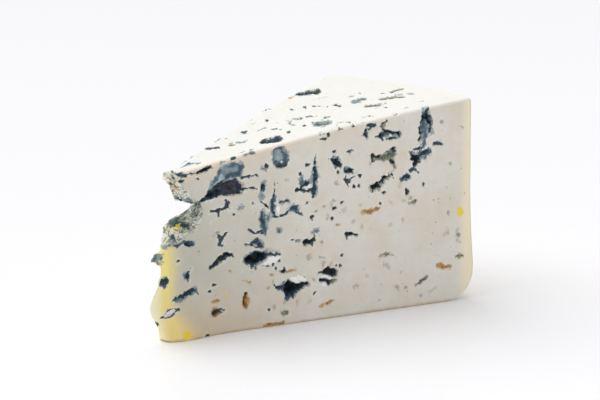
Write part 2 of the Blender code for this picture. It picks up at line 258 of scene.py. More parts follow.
# Paths of places on a cut: distance from the wheel's axis, height and half width there, in mm.
# A pit also has a depth, and how far inside its edge its dark paint starts, dark mould with painted shade; past
# 5 it has none.
frontMarks = {
    "pits": [
        (3.0, 0.0, [(20.6, 70.8, 0.7), (23.4, 71.6, 1.2), (25.8, 72.4, 0.7)]),
        (4.2, 9.0, [(24.5, 60.6, 1.3), (29.5, 62.6, 2.9), (37.0, 63.0, 3.8)]),
        (2.4, 9.0, [(33.0, 69.6, 2.4), (37.4, 70.6, 2.7)]),
        (2.0, 0.0, [(24.6, 60.4, 1.0), (20.9, 58.2, 0.5)]),
        (0.7, 0.0, [(39.0, 61.8, 0.6), (46.2, 61.5, 0.4)]),
        (2.6, 9.0, [(57.4, 75.6, 3.4), (57.0, 72.2, 3.0)]),
        # the almond near the tip: a dent here, but a hole right through in the solid
        (1.4, 9.0, [(4.0, 11.0, 0.7), (6.4, 11.8, 1.5), (8.8, 12.6, 0.7)]),
        (5.5, 0.2, [(42.9, 30.5, 1.9), (46.1, 30.8, 3.0), (49.2, 31.2, 2.3)]),
        (0.8, 0.0, [(39.5, 31.4, 0.35), (41.8, 30.9, 0.5)]),
        (0.8, 0.0, [(43.5, 28.0, 0.35), (46.5, 26.5, 0.5)]),
        (1.4, 9.0, [(50.8, 34.0, 1.2), (57.3, 31.9, 0.4)]),
        (1.0, 0.0, [(51.0, 31.9, 0.5), (57.8, 31.3, 0.3)]),
        (0.7, 0.0, [(49.3, 26.8, 0.35), (52.1, 27.2, 0.35)]),
        (5.5, 0.1, [(61.5, 17.7, 1.9), (62.5, 15.3, 3.0), (63.4, 13.9, 1.9)]),
        (4.5, 0.1, [(62.5, 16.2, 2.8), (65.8, 16.3, 2.3), (68.7, 16.8, 1.4), (71.3, 17.2, 0.6)]),
        (1.2, 0.0, [(55.9, 17.2, 0.7), (58.7, 17.1, 0.9)]),
        (0.5, 0.0, [(69.5, 21.4, 0.25), (70.1, 18.4, 0.35)]),
        (4.0, 0.1, [(79.2, 21.1, 1.4), (81.4, 20.7, 2.0), (83.6, 20.0, 2.1)]),
        (2.5, 0.1, [(77.8, 17.2, 1.0), (79.9, 16.9, 0.9), (81.6, 16.0, 1.1)]),
        (0.5, 0.0, [(74.6, 20.5, 0.25), (77.8, 21.1, 0.35)]),
        (5.0, 0.0, [(127.7, 91.9, 0.74), (127.7, 86.6, 0.83), (129.6, 82.1, 0.69), (129.6, 78.5, 0.46)]),
        (2.5, 0.2, [(126.5, 85.4, 0.74), (125.3, 80.7, 0.83), (124.8, 76.2, 0.7), (124.6, 71.5, 0.5)]),
        (5.0, 0.0, [(120.9, 67.5, 1.2), (124.0, 66.4, 1.56), (121.5, 63.5, 0.83)]),
        (5.0, 0.2, [(102.3, 56.0, 1.2), (105.3, 57.0, 1.93), (107.7, 59.0, 1.29), (111.1, 60.9, 0.46)]),
        (2.0, 0.0, [(118.7, 53.2, 0.69), (118.7, 51.9, 0.69)]),
        (3.0, 0.0, [(69.1, 35.8, 1.1), (72.9, 36.0, 1.29)]),
        (2.0, 0.3, [(9.5, 17.4, 0.83), (13.6, 18.7, 1.38), (17.2, 20.6, 0.92)]),
        (1.6, 0.3, [(14.8, 40.3, 1.29), (16.6, 40.3, 1.2)]),
        (3.2, 0.6, [(41.4, 15.1, 0.83), (41.3, 10.9, 1.01)]),
        (2.6, 0.7, [(26.3, 9.1, 1.56), (27.5, 9.9, 1.38)]),
        (1.6, 0.0, [(14.8, 27.8, 0.83), (14.8, 26.1, 0.83)]),
        (1.2, 0.1, [(2.5, 25.7, 1.12), (4.7, 25.6, 1.51)]),
        (2.0, 0.1, [(57.1, 24.2, 0.5), (59.2, 23.9, 0.9), (60.1, 24.0, 0.4)]),
        (1.6, 0.0, [(64.6, 59.1, 0.65), (66.8, 58.7, 0.65), (68.4, 60.0, 0.5), (69.6, 61.2, 0.45)]),
        (1.0, 0.0, [(68.4, 58.4, 0.45), (72.0, 58.1, 0.5)]),
        (2.2, 0.2, [(82.4, 70.2, 0.6), (84.5, 68.7, 1.3), (86.7, 66.7, 0.9)]),
        (1.5, 0.1, [(85.2, 70.8, 0.45), (84.3, 67.8, 0.7)]),
        (2.2, 0.0, [(89.4, 63.6, 0.64), (90.8, 64.6, 0.83), (92.3, 63.1, 0.64)]),
        (2.4, 0.0, [(101.2, 69.7, 0.83), (105.1, 69.9, 0.64)]),
        (2.4, 0.0, [(108.5, 71.8, 0.64), (112.0, 72.0, 0.74)]),
        (2.0, 0.0, [(110.8, 66.9, 0.46), (112.3, 66.1, 0.55)]),
        (1.6, 0.1, [(100.6, 81.9, 0.4), (98.2, 81.7, 0.6), (97.7, 79.9, 0.69), (98.9, 78.3, 0.5)]),
        (2.2, 0.1, [(105.5, 78.6, 0.74), (109.9, 80.2, 0.92), (114.3, 79.2, 0.74)]),
        (1.8, 0.0, [(108.0, 77.1, 0.55), (112.9, 77.1, 0.64)]),
        (1.6, 0.2, [(49.5, 63.0, 0.9), (49.3, 61.3, 1.0)]),
        (0.8, 0.0, [(54.8, 63.5, 0.2), (54.6, 59.9, 0.25), (53.9, 55.6, 0.5), (53.7, 52.2, 0.65),
                    (55.0, 49.0, 0.5)]),
        (0.8, 0.3, [(48.3, 51.0, 0.7), (49.0, 47.9, 0.9), (49.6, 44.8, 0.9), (50.1, 42.6, 0.5)]),
        (0.9, 0.1, [(44.3, 37.5, 0.6), (46.6, 39.0, 0.8), (48.5, 36.2, 0.7)]),
        (0.7, 0.0, [(41.1, 37.5, 0.25), (44.3, 36.9, 0.5), (47.1, 36.1, 0.6)]),
        (2.4, 0.0, [(25.4, 29.3, 0.8), (29.1, 31.9, 1.2), (32.3, 34.2, 1.1), (35.1, 33.4, 0.5)]),
        (2.4, 0.0, [(88.2, 36.5, 0.5), (91.0, 36.2, 0.85), (93.8, 35.6, 0.6)]),
        (1.4, 0.0, [(111.5, 87.8, 0.55), (113.2, 87.6, 0.6)]),
        (0.7, 0.0, [(39.9, 66.5, 0.59), (46.3, 66.7, 0.46)]),
        (1.2, 0.0, [(25.3, 53.2, 0.7), (29.0, 53.6, 0.8), (32.4, 54.2, 0.9), (33.2, 56.4, 0.7)]),
        (0.8, 0.0, [(48.6, 55.3, 0.45), (49.9, 53.9, 0.55), (51.3, 52.9, 0.45)]),
        (0.8, 0.0, [(55.0, 49.0, 0.45), (56.2, 48.0, 0.55), (57.8, 48.5, 0.6), (60.2, 49.6, 0.6)]),
        (0.6, 0.2, [(56.9, 54.9, 0.6), (61.1, 54.6, 0.55)]),
        (0.9, 0.3, [(61.1, 50.7, 0.9), (63.5, 51.4, 1.3), (65.3, 50.7, 0.8)]),
        (0.5, 0.0, [(64.9, 49.7, 0.45), (66.8, 48.6, 0.5), (67.9, 47.6, 0.3)]),
        (1.2, 0.0, [(74.3, 73.1, 0.4), (73.4, 67.6, 0.6), (73.8, 62.3, 0.8), (72.9, 54.1, 0.4)]),
        (0.7, 0.0, [(42.7, 43.8, 0.4), (43.9, 42.4, 0.5), (46.2, 42.1, 0.55), (48.5, 43.2, 0.45)]),
        (0.8, 0.0, [(28.3, 44.1, 0.59), (30.1, 41.3, 0.79), (29.2, 38.8, 0.59)]),
        (0.7, 0.0, [(32.4, 43.7, 0.59), (30.1, 41.3, 0.64)]),
        (0.8, 0.0, [(61.1, 37.5, 0.35), (63.0, 37.5, 0.6), (64.9, 37.2, 0.3)]),
        (0.8, 0.0, [(89.4, 73.0, 0.45), (91.4, 73.1, 0.65)]),
        (0.8, 0.0, [(88.2, 60.5, 0.79), (90.6, 60.2, 0.79)]),
        (0.8, 0.0, [(98.6, 84.2, 0.85), (102.5, 83.9, 0.85)]),
        (0.9, 0.0, [(108.8, 84.5, 0.4), (106.4, 83.8, 0.45), (105.9, 81.7, 0.5), (107.9, 80.6, 0.5)]),
        (1.0, 0.0, [(116.6, 58.8, 0.72), (119.3, 59.6, 0.79)]),
        (0.9, 0.0, [(82.7, 48.9, 0.79), (84.2, 48.8, 0.79)]),
        (0.9, 0.1, [(125.4, 68.4, 1.12), (128.4, 70.0, 1.18)]),
        (0.9, 0.1, [(132.4, 72.9, 0.8), (135.4, 72.6, 0.6)]),
        (0.8, 0.0, [(76.4, 80.0, 0.64), (78.8, 79.9, 0.64)]),
        (0.8, 0.0, [(120.0, 62.0, 0.59), (121.5, 63.0, 0.72)]),
        (0.8, 0.0, [(14.8, 69.8, 0.72), (10.4, 71.9, 0.98)]),
    ],
    "specks": [
        (12.6, 67.9, 0.6), (19.7, 68.0, 0.51), (51.0, 71.0, 0.6), (70.1, 68.8, 0.51), (66.6, 66.1, 0.6),
        (36.1, 51.0, 0.55), (44.9, 55.3, 0.51), (69.8, 52.2, 0.51), (72.5, 45.8, 0.74), (26.3, 21.4, 0.74),
        (24.6, 19.2, 0.6), (74.2, 12.3, 0.69), (52.1, 7.7, 0.64), (34.1, 53.4, 0.51), (57.1, 29.0, 0.55),
        (54.5, 27.6, 0.46), (55.2, 25.7, 0.46), (10.7, 33.3, 0.64), (22.7, 0.8, 0.74), (87.2, 27.3, 0.51),
        (84.6, 23.5, 0.45), (86.5, 23.0, 0.35),
        (83.3, 74.0, 0.51), (84.3, 64.3, 0.55), (92.8, 57.4, 0.55), (94.9, 57.2, 0.55), (95.7, 61.7, 0.51),
        (106.8, 53.7, 0.51), (127.2, 55.1, 0.6), (116.2, 88.5, 0.55), (80.4, 81.9, 0.55), (82.5, 44.5, 0.46),
        (87.3, 50.9, 0.46), (105.4, 48.5, 0.46), (8.6, 44.2, 0.83), (112.0, 71.0, 0.55),
    ],
    "dark": [
        [(21.8, 58.8, 0.6), (26.5, 60.2, 1.2), (31.0, 61.0, 0.9)],
        [(24.4, 62.0, 0.4), (29.0, 65.2, 0.5), (35.0, 66.4, 0.3)],
        [(54.4, 71.8, 0.9)],
        [(57.0, 70.0, 0.5), (60.4, 71.0, 0.6)],
        [(2.2, 10.5, 0.5), (6.4, 11.8, 2.0), (10.2, 13.1, 0.6)],
        [(8.4, 40.4, 0.3), (11.0, 40.6, 0.5), (14.0, 41.4, 0.3)],
    ],
    "plum": [
        [(22.6, 59.4, 0.9), (29.5, 62.2, 2.9), (37.2, 62.8, 3.6)],
        [(41.6, 30.6, 1.3), (43.6, 30.8, 2.0)],
    ],
    "blue": [
        [(27.0, 64.6, 2.0), (32.5, 69.6, 3.3), (37.2, 70.4, 3.5)],
        [(57.2, 74.0, 4.3)],
        [(2.5, 39.6, 0.5), (8.0, 40.4, 0.6), (14.7, 41.4, 0.5)],
        [(49.5, 63.0, 1.2), (49.3, 61.3, 1.3)],
        [(48.6, 58.1, 1.3), (49.3, 57.6, 1.2)],
        [(54.6, 57.0, 0.6), (53.8, 54.0, 1.3), (54.4, 49.6, 0.9)],
        [(48.3, 51.0, 1.1), (49.0, 47.9, 1.5), (49.4, 44.8, 1.5), (50.1, 42.6, 0.9)],
        [(53.2, 52.2, 0.8), (51.8, 48.9, 0.7), (51.3, 45.0, 0.6), (49.9, 40.8, 0.5)],
        [(43.6, 37.4, 1.1), (46.6, 38.2, 1.5), (48.5, 36.6, 1.2)],
        [(61.1, 50.7, 1.2), (63.5, 51.4, 1.6), (65.3, 50.7, 1.1)],
        [(57.2, 54.9, 0.75), (61.1, 54.6, 0.7)],
        [(120.9, 69.5, 0.74), (127.4, 67.4, 0.74)],
        [(127.8, 90.2, 1.4), (127.4, 84.1, 1.5), (126.8, 76.2, 1.4), (126.6, 72.0, 0.7)],
        [(129.2, 84.8, 1.2), (130.2, 77.6, 1.1)],
        [(124.9, 68.9, 1.56), (128.9, 69.9, 1.56)],
        [(116.6, 59.0, 1.29), (119.6, 59.6, 1.29)],
        [(127.2, 55.1, 0.85)],
        [(72.9, 39.6, 0.92), (75.3, 39.8, 0.92)],
        [(82.9, 70.8, 1.0), (84.8, 68.2, 1.8)],
        [(90.4, 73.0, 0.9)],
        [(14.9, 40.4, 1.4), (17.0, 40.3, 1.2)],
        [(9.5, 17.4, 1.0), (14.0, 18.8, 1.6), (18.1, 20.7, 1.0)],
        [(66.8, 63.9, 0.8), (67.8, 61.4, 1.6), (71.0, 61.6, 1.1)],
        [(73.8, 69.0, 0.8), (73.9, 62.0, 1.6), (73.2, 56.0, 0.9)],
        [(42.4, 30.6, 2.3), (46.2, 31.2, 3.3), (49.5, 32.2, 2.0)],
        [(98.2, 80.1, 1.3)],
        [(106.5, 79.4, 1.1), (113.8, 78.8, 1.2)],
        [(90.1, 64.2, 1.75)],
        [(2.1, 25.7, 1.38), (4.7, 25.6, 1.56)],
        [(14.1, 27.0, 1.47)],
        [(56.0, 17.2, 1.1), (60.5, 17.0, 2.6), (62.5, 15.0, 3.4)],
    ],
    "green": [
        [(101.0, 69.6, 0.8), (106.0, 69.2, 1.9), (111.6, 70.0, 2.0)],
        [(111.0, 67.0, 1.4), (112.5, 63.8, 0.7)],
        [(81.4, 15.6, 1.1), (83.8, 16.0, 1.1)],
        [(100.9, 55.9, 1.38), (104.8, 56.2, 1.84)],
        [(133.9, 73.0, 1.3)],
        [(106.1, 24.6, 0.72), (109.1, 25.6, 0.96), (112.6, 24.8, 0.72)],
        [(145.3, 20.5, 1.03), (147.8, 21.1, 0.91)],
        [(145.5, 30.1, 1.03)],
        [(124.9, 9.5, 0.84), (127.5, 11.0, 1.22), (130.0, 12.6, 0.84)],
        [(58.2, 5.8, 1.1), (60.6, 6.0, 1.1)],
        [(119.8, 47.5, 0.96), (122.8, 48.3, 0.96)],
        [(106.4, 82.9, 1.56)],
        [(112.2, 87.7, 1.2)],
    ],
    "tan": [
        [(76.9, 6.1, 0.7), (82.7, 7.6, 0.8)],
        [(27.3, 9.5, 2.12)],
        [(26.2, 14.4, 1.2), (28.5, 14.6, 1.2)],
        [(41.4, 15.8, 1.5), (41.3, 10.4, 1.6)],
        [(34.1, 26.1, 0.5), (37.7, 25.7, 0.5)],
        [(39.6, 21.7, 0.4), (43.3, 21.1, 0.45)],
        [(60.8, 23.7, 0.9), (63.0, 23.6, 0.8), (65.3, 23.4, 0.35)],
        [(53.1, 23.1, 0.6), (54.5, 23.0, 0.5)],
        [(54.8, 63.7, 0.4), (54.7, 62.4, 0.35)],
        [(103.4, 46.3, 1.01)],
        [(83.9, 41.9, 0.6), (85.8, 41.0, 0.75)],
        [(96.6, 45.2, 1.0), (100.5, 45.5, 1.35), (103.9, 46.0, 1.1)],
        [(136.2, 17.2, 1.4), (138.6, 16.6, 1.2), (141.7, 15.7, 0.5)],
        [(50.0, 0.7, 0.78), (59.0, 0.9, 1.04)],
    ],
    "yellow": [
        [(31.7, 16.8, 0.92)],
        [(13.7, 2.1, 1.75)],
        [(98.3, 41.0, 0.69)],
        [(145.8, 41.8, 1.6), (146.2, 40.4, 1.7)],
    ],
    # painted light: white highlights on lit facets and in holes, and the white backdrop seen through the almond
    # near the tip
    "paintedLight": [
        [(49.6, 28.2, 0.7), (52.2, 29.3, 1.5), (55.4, 29.9, 1.1), (58.0, 30.3, 0.4)],
        [(61.0, 20.3, 0.4), (63.6, 20.3, 0.9), (65.6, 19.3, 0.8)],
        [(66.4, 20.6, 0.9), (69.4, 19.5, 1.0)],
        [(55.9, 53.4, 0.6), (56.6, 51.2, 0.9)],
        [(69.4, 59.5, 0.4), (71.0, 59.7, 0.6)],
        [(110.1, 78.7, 0.92)],
        [(106.7, 56.4, 0.64)],
        [(78.6, 19.0, 0.6), (81.7, 17.8, 0.55)],
        [(78.8, 15.3, 0.9)],
        [(3.6, 10.9, 0.5), (6.4, 11.8, 1.15), (9.0, 12.7, 0.6)],
        [(59.0, 71.6, 0.5)],
    ],
}

# On the thin end: distance across and height
noseMarks = {
    "pits": [(1.8, 0.1, [(-2.0, 44.0, 0.9)]), (0.8, 0.0, [(0.6, 8.4, 1.3)]),
             (0.8, 0.0, [(3.0, 73.0, 0.6), (-2.0, 71.5, 0.9)])],
    "specks": [(-1.0, 52.0, 0.5), (1.5, 66.0, 0.5), (-2.5, 68.0, 0.5)],
    "dark": [[(2.0, 49.4, 0.4), (-1.6, 48.4, 0.7), (-4.4, 46.8, 0.5)]],
    "plum": [],
    "blue": [[(4.0, 57.5, 1.2), (-5.0, 56.5, 1.2)], [(1.0, 36.0, 2.0)]],
    "green": [[(2.6, 49.8, 1.2), (-1.5, 48.8, 1.4), (-4.8, 46.6, 1.1)],
              [(0.0, 34.5, 1.0), (1.5, 36.4, 0.8)]],
    "tan": [],
    "yellow": [[(-1.2, 47.2, 0.5), (-2.2, 46.0, 0.6)]],
    "paintedLight": [[(-3.0, 53.6, 0.6), (-5.5, 54.4, 0.5)], [(3.0, 45.0, 0.6), (0.0, 44.4, 0.7)]],
}

# On the top: distance along and across from the wheel's axis, half width
topMarks = {
    "pits": [
        (4.2, 0.1, [(55.0, -6.2, 1.4), (57.3, -7.8, 2.2), (59.8, -9.7, 1.7)]),
        (3.4, 0.0, [(109.6, 32.2, 0.9), (113.1, 30.7, 1.3), (116.9, 29.4, 1.5), (120.4, 28.7, 1.66)]),
        (2.6, 0.0, [(107.9, 3.7, 1.05), (108.2, 1.5, 1.05)]),
        (1.4, 0.3, [(113.5, -10.8, 0.9), (116.0, -12.1, 1.19), (117.2, -14.6, 0.9)]),
        (0.6, 0.2, [(85.3, -20.1, 0.52), (88.8, -19.0, 0.52), (90.3, -22.9, 0.52), (88.2, -27.5, 0.52),
                    (84.1, -28.7, 0.52), (82.6, -24.7, 0.52), (85.3, -20.1, 0.52)]),
        (0.6, 0.1, [(101.0, 11.3, 0.61), (104.2, 5.6, 0.61)]),
        (0.6, 0.1, [(36.7, 9.5, 0.74), (40.3, 5.8, 0.74)]),
        (0.6, 0.1, [(58.7, 11.9, 0.68), (60.7, 11.0, 0.74)]),
        (0.5, 0.1, [(68.8, 3.1, 0.61), (69.8, 1.1, 0.61)]),
        (0.5, 0.1, [(91.8, 16.5, 0.61), (93.0, 14.5, 0.61)]),
        (0.8, 0.4, [(124.4, -8.2, 0.82), (128.7, -10.9, 1.12), (131.7, -14.8, 0.74)]),
        (0.7, 0.4, [(135.0, -4.1, 0.74), (141.3, -4.4, 0.9)]),
    ],
    "specks": [
        (114.6, -20.8, 0.74), (34.2, -10.9, 0.9), (73.1, 22.3, 0.82), (75.3, 13.6, 0.68), (68.4, -7.5, 0.74),
        (97.8, 13.8, 0.68), (85.4, 2.5, 0.68), (78.4, -7.4, 0.68), (83.4, -8.1, 0.74),
    ],
    "dark": [[(55.0, -6.2, 1.7), (60.0, -9.8, 2.2)], [(81.6, -10.8, 0.45), (85.8, -14.6, 0.45)]],
    "plum": [],
    "blue": [
        [(82.2, -11.0, 1.7), (85.6, -14.4, 1.7)],
        [(110.9, 31.0, 1.5), (114.9, 29.3, 1.94)],
        [(115.8, 0.9, 0.9), (120.7, -1.2, 0.9)],
        [(114.0, -0.9, 0.74), (116.1, -3.2, 0.74)],
    ],
    "green": [
        [(124.4, -8.2, 1.1), (128.7, -10.9, 1.5), (131.7, -14.8, 1.0)],
        [(135.0, -4.1, 0.9), (141.3, -4.4, 1.2)],
        [(82.6, -11.4, 1.2), (85.2, -14.0, 1.3)],
        [(113.5, -10.8, 1.35), (117.2, -14.6, 1.35)],
        [(46.0, 4.0, 1.35)],
        [(118.2, 27.4, 2.25)],
    ],
    "tan": [
        [(126.0, -9.0, 0.6), (129.5, -11.6, 0.7)],
        [(137.0, -4.2, 0.5), (141.3, -4.4, 0.8)],
        [(103.8, 30.1, 0.8), (105.7, 30.1, 0.8)],
    ],
    "yellow": [],
    "paintedLight": [],
}

# The back cut's larger holes: distance, height, length, width, depth, tilt in degrees
backHoles = ((38, 62, 15, 8, 7, -22), (62, 30, 18, 6.6, 6.5, 14), (80, 66, 9.6, 9, 5, 0),
             (100, 44, 14, 5.6, 6, -28), (121, 70, 5, 16, 5, 8), (112, 20, 9, 6.6, 5, 10),
             (30, 22, 9, 4.6, 3, 30), (57, 50, 7, 5.6, 4, -15), (130, 33, 6, 5, 4, 25))
marbling = {
    "seed": 11,
    # veins, slits and spots at random: how many, where along and up the cut, their lengths, half widths and
    # depths, their slope in degrees, and how far their colour reaches past them
    "strewn": {
        "front": {"count": 14, "width": (24, 78), "height": (8, 76), "lengths": (1, 3), "widths": (0.25, 0.45),
                  "depths": (0.3, 0.6), "slope": 5, "halos": (0.2, 0.7)},
        "back": {"count": 110, "width": (10, 146), "height": (4, 84), "lengths": (2, 13), "widths": (0.4, 1.7),
                 "depths": (0.8, 3.0), "slope": 15, "halos": (0.4, 1.3)},
        "top": {"count": 48, "width": (20, 145), "height": (-34, 34), "lengths": (3, 9), "widths": (0.25, 0.55),
                "depths": (0.3, 0.6), "slope": -43, "halos": (0.0, 0.3)},
    },
    "frontDents": {"count": 90, "width": (50, 147), "height": (3, 84)},     # bare dents over the front
    "edgeWander": 0.6,                 # mm the edges stray
    "crumbSize": 1.5,                  # mm, the paste breaks along crumbs of this size
    "crumbShare": 0.45,                # how far a mark's edge follows them
    "kinds": ("dark", "plum", "blue", "green", "tan", "yellow", "paintedLight"),
    # mm that each kind lies in the paste, or stands out of it
    "dents": {"dark": 0.0, "plum": 0.0, "blue": 0.12, "green": 0.7, "tan": 1.0, "yellow": 0.2, "paintedLight": -0.45},
    "brim": 0.22,                      # mm that the paste stands up round a pit, at most
    "brimAt": 0.45,
    "brimWidth": 0.35,
    "deepest": 0.36,                   # a pit's depth at most, as a share of the cheese there
    "farOut": -3.0,                    # inside distance where there is no mark
    "noDarkPaint": 9.0,                    # a rim past reach, so nothing dark is painted in the pit
    "topLean": math.radians(47),       # the holes in the top are drawn out along this slant
    "topStretch": 2.0,
}


def nearestCrumb(places, size, seed):
    # each cell of a square or cube grid holds one crumb, off its middle by up to half a cell;
    # the result is the nearest crumb's middle
    sides = places.shape[1]
    cell = np.floor(places / size).astype(np.int64)
    best, found = np.full(len(places), 1e9), places.copy()
    for step in itertools.product((-1, 0, 1), repeat=sides):
        at = cell + step
        name = np.concatenate([at, np.zeros((len(at), 3 - sides), np.int64)], 1)
        middle = (at + 0.5 + 0.5 * np.stack([corner(name, seed + k) for k in range(sides)], -1)) * size
        gap = ((places - middle) ** 2).sum(1)
        closer = gap < best
        best[closer], found[closer] = gap[closer], middle[closer]
    return found


def pathField(places, path, lean, stretch):
    # inside distance in mm: the largest of half width minus distance over the stretches of the path;
    # distances along the lean are divided by the stretch
    best = np.full(len(places), -9.0)
    stretches = zip(path, path[1:]) if len(path) > 1 else [(path[0], path[0])]
    for a, b in stretches:
        start, run = np.array(a[:2]), np.subtract(b[:2], a[:2])
        t = np.clip((places - start) @ run / max(run @ run, 1e-9), 0, 1)
        off = places - start - t[:, None] * run
        gap = np.hypot(off @ lean / stretch, off @ (-lean[1], lean[0]))
        best = np.maximum(best, a[2] + (b[2] - a[2]) * t - gap)
    return best


def near(places, path, margin):
    # the places inside the path's box, grown by a margin
    path = np.array(path)
    wide = margin + path[:, 2].max()
    inside = (places >= path[:, :2].min(0) - wide) & (places <= path[:, :2].max(0) + wide)
    return np.flatnonzero(inside.all(1))


def paint(places, marks, thickness, stretch):
    # places are in mm; fields are inside distances; sink is how deep each place lies:
    # depth times sqrt(1 - (1 - inside/half width)^2), with a steep wall and a round floor;
    # the brim just outside stands up as a bell curve of the distance
    spot = np.concatenate([places, np.full((len(places), 1), 5.0)], 1)
    wander = marbling["edgeWander"]
    lean = np.array([math.cos(marbling["topLean"]), math.sin(marbling["topLean"])])
    stray = np.stack([lumps(spot, 3.4, 3, 3), lumps(spot, 3.4, 9, 3)], -1) * wander
    floor = 1 + 0.3 * lumps(spot, 1.9, 15, 2)
    at = places + stray
    share = marbling["crumbShare"]
    at = at * (1 - share) + nearestCrumb(at, marbling["crumbSize"], 71) * share
    at = at * 0.75 + nearestCrumb(at, marbling["crumbSize"] * 0.45, 81) * 0.25
    fields = {kind: np.full(len(places), marbling["farOut"]) for kind in marbling["kinds"]}
    sink = np.zeros(len(places))
    pits = marks["pits"] + [(0.9, 0.0, [(x, y, wide + 0.18)]) for x, y, wide in marks["specks"]]
    for depth, rim, path in pits:
        pick = near(at, path, 4 * stretch)
        field = pathField(at[pick], path, lean, stretch)
        wide = max(p[2] for p in path)
        bowl = np.sqrt(np.clip(1 - (1 - np.clip(field / wide, 0, 1)) ** 2, 0, 1))
        bell = np.exp(-(((field + marbling["brimAt"]) / marbling["brimWidth"]) ** 2))
        brim = min(marbling["brim"], 0.3 * depth) * bell
        hollow = np.minimum(depth * bowl * floor[pick], marbling["deepest"] * thickness[pick])
        outside = np.where(sink[pick] > 0, sink[pick], -brim)
        sink[pick] = np.where(hollow > 0, np.maximum(sink[pick], hollow), outside)
        fields["dark"][pick] = np.maximum(fields["dark"][pick], field - rim)
    for kind in marbling["kinds"]:
        for path in marks[kind]:
            pick = near(at, path, 4 * stretch)
            field = pathField(at[pick], path, lean, stretch)
            fields[kind][pick] = np.maximum(fields[kind][pick], field)
            dent = marbling["dents"][kind] * np.clip(field / 0.8, 0, 1)
            sink[pick] = np.where(np.abs(dent) > np.abs(sink[pick]), dent, sink[pick] + np.minimum(dent, 0))
    return fields, sink


def noMarks():
    return {key: [] for key in ("pits", "specks", *marbling["kinds"])}


def fraysOf(rng, marks):
    # thin cracks that run out of the larger holes, one to three each, from random places on their paths
    frays = noMarks()
    for _, rim, path in marks["pits"]:
        if rim > 5:
            continue
        wide = max(w for _, _, w in path)
        for _ in range(int(rng.integers(1, 4)) if 0.7 < wide < 3.5 else 0):
            x, y, w = path[rng.integers(len(path))]
            turn, length = rng.uniform(0, 2 * math.pi), w + rng.uniform(0.4, 2.2)
            bend = turn + rng.normal(0, 0.5)
            middle = (x + length * 0.6 * math.cos(turn), y + length * 0.6 * math.sin(turn), 0.38)
            end = (middle[0] + length * 0.5 * math.cos(bend), middle[1] + length * 0.5 * math.sin(bend), 0.22)
            frays["pits"].append((0.5, 0.0, [(x, y, 0.5), middle, end]))
    return frays


def strewnDents(rng, count, width, height):
    # bare dents and scratches at random, without mould or painted shade
    marks = noMarks()
    draws = zip(rng.uniform(*width, count), rng.uniform(*height, count), rng.normal(0.1, 0.8, count),
                rng.uniform(0, 2.4, count), rng.uniform(0.3, 0.8, count), rng.uniform(0.6, 1.6, count))
    for x, y, turn, length, wide, depth in draws:
        end = (x + length * math.cos(turn), y + length * math.sin(turn), wide * 0.7)
        marks["pits"].append((depth, marbling["noDarkPaint"], [(x, y, wide), end]))
    return marks


def strewn(rng, count, width, height, lengths, widths, depths, slope, halos):
    # marks at random: short bent paths, most along a slope, some as spots, about half in a patch of colour
    marks = noMarks()
    for _ in range(count):
        x, y = rng.uniform(*width), rng.uniform(*height)
        wide = rng.uniform(*widths) * rng.choice([0.5, 0.8, 1.0], p=[0.5, 0.3, 0.2])
        length = rng.uniform(*lengths) * rng.choice([0.2, 0.6, 1.0], p=[0.4, 0.35, 0.25])
        turn = math.radians(slope + rng.normal(0, 35))
        bend = rng.normal(0, 0.25) * length
        along, across = np.array([math.cos(turn), math.sin(turn)]), np.array([-math.sin(turn), math.cos(turn)])
        path = []
        for t, w in ((-0.5, 0.5), (0.0, 1.0), (0.5, 0.45)):
            spot = np.array([x, y]) + along * length * t + across * bend * (0.25 - t * t) * 4
            path.append((spot[0], spot[1], wide * w))
        kind = rng.choice(["blue", "green", "tan", "none"], p=[0.42, 0.14, 0.10, 0.34])
        if kind in ("blue", "green"):
            marks[kind].append([(a, b, w + rng.uniform(*halos)) for a, b, w in path])
            marks["pits"].append((rng.uniform(*depths), 0.15, path))
        elif kind == "tan":
            marks["tan"].append(path)
        else:
            marks["pits"].append((rng.uniform(*depths) * 0.7, 0.0, path))
    return marks


def together(*sets):
    # several sets of marks as one
    return {key: sum((list(marks[key]) for marks in sets), []) for key in sets[0]}


def holesAsPits(holes):
    # each hole as a bent path of its length less its width, tilted, narrower at its ends
    marks = noMarks()
    for x, y, length, width, depth, tilt in holes:
        reach, wide = abs(length - width) / 2, min(length, width) / 2
        turn = math.radians(tilt + (90 if width > length else 0))
        bend = 0.35 * reach * math.sin(3 * x)
        ends = [(x - reach * math.cos(turn), y - reach * math.sin(turn), wide * 0.5),
                (x - bend * math.sin(turn), y + bend * math.cos(turn), wide),
                (x + reach * math.cos(turn), y + reach * math.sin(turn), wide * 0.65)]
        marks["pits"].append((depth, 0.8, ends))
        marks["blue"].append([(a, b, w + 1.0) for a, b, w in ends])
    return marks


